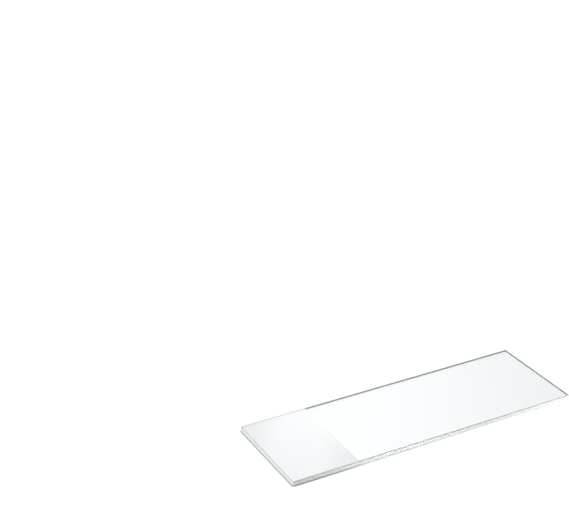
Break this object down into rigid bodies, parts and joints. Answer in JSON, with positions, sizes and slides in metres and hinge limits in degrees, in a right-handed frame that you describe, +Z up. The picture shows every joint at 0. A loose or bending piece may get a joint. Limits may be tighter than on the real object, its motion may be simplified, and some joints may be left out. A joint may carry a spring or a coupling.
{
  "type": "microscope slide",
  "caption": "Clear rectangular glass slide with ground, bevelled edges and a frosted writing field across its end.",
  "frame": {"origin": "middle of the underside, on the surface that the slide lies on", "axes": "+X along the slide from the frosted end to the clear end, +Y across its width, +Z up out of the frosted face"},
  "size_m": [0.0762, 0.0254, 0.0012],
  "materials": {
    "soda_lime_glass": "polished faces, satin ground edges, matt frosted field at one end"
  },
  "bodies": {
    "root": {"glass_slide": "soda_lime_glass"}
  },
  "joints": []
}
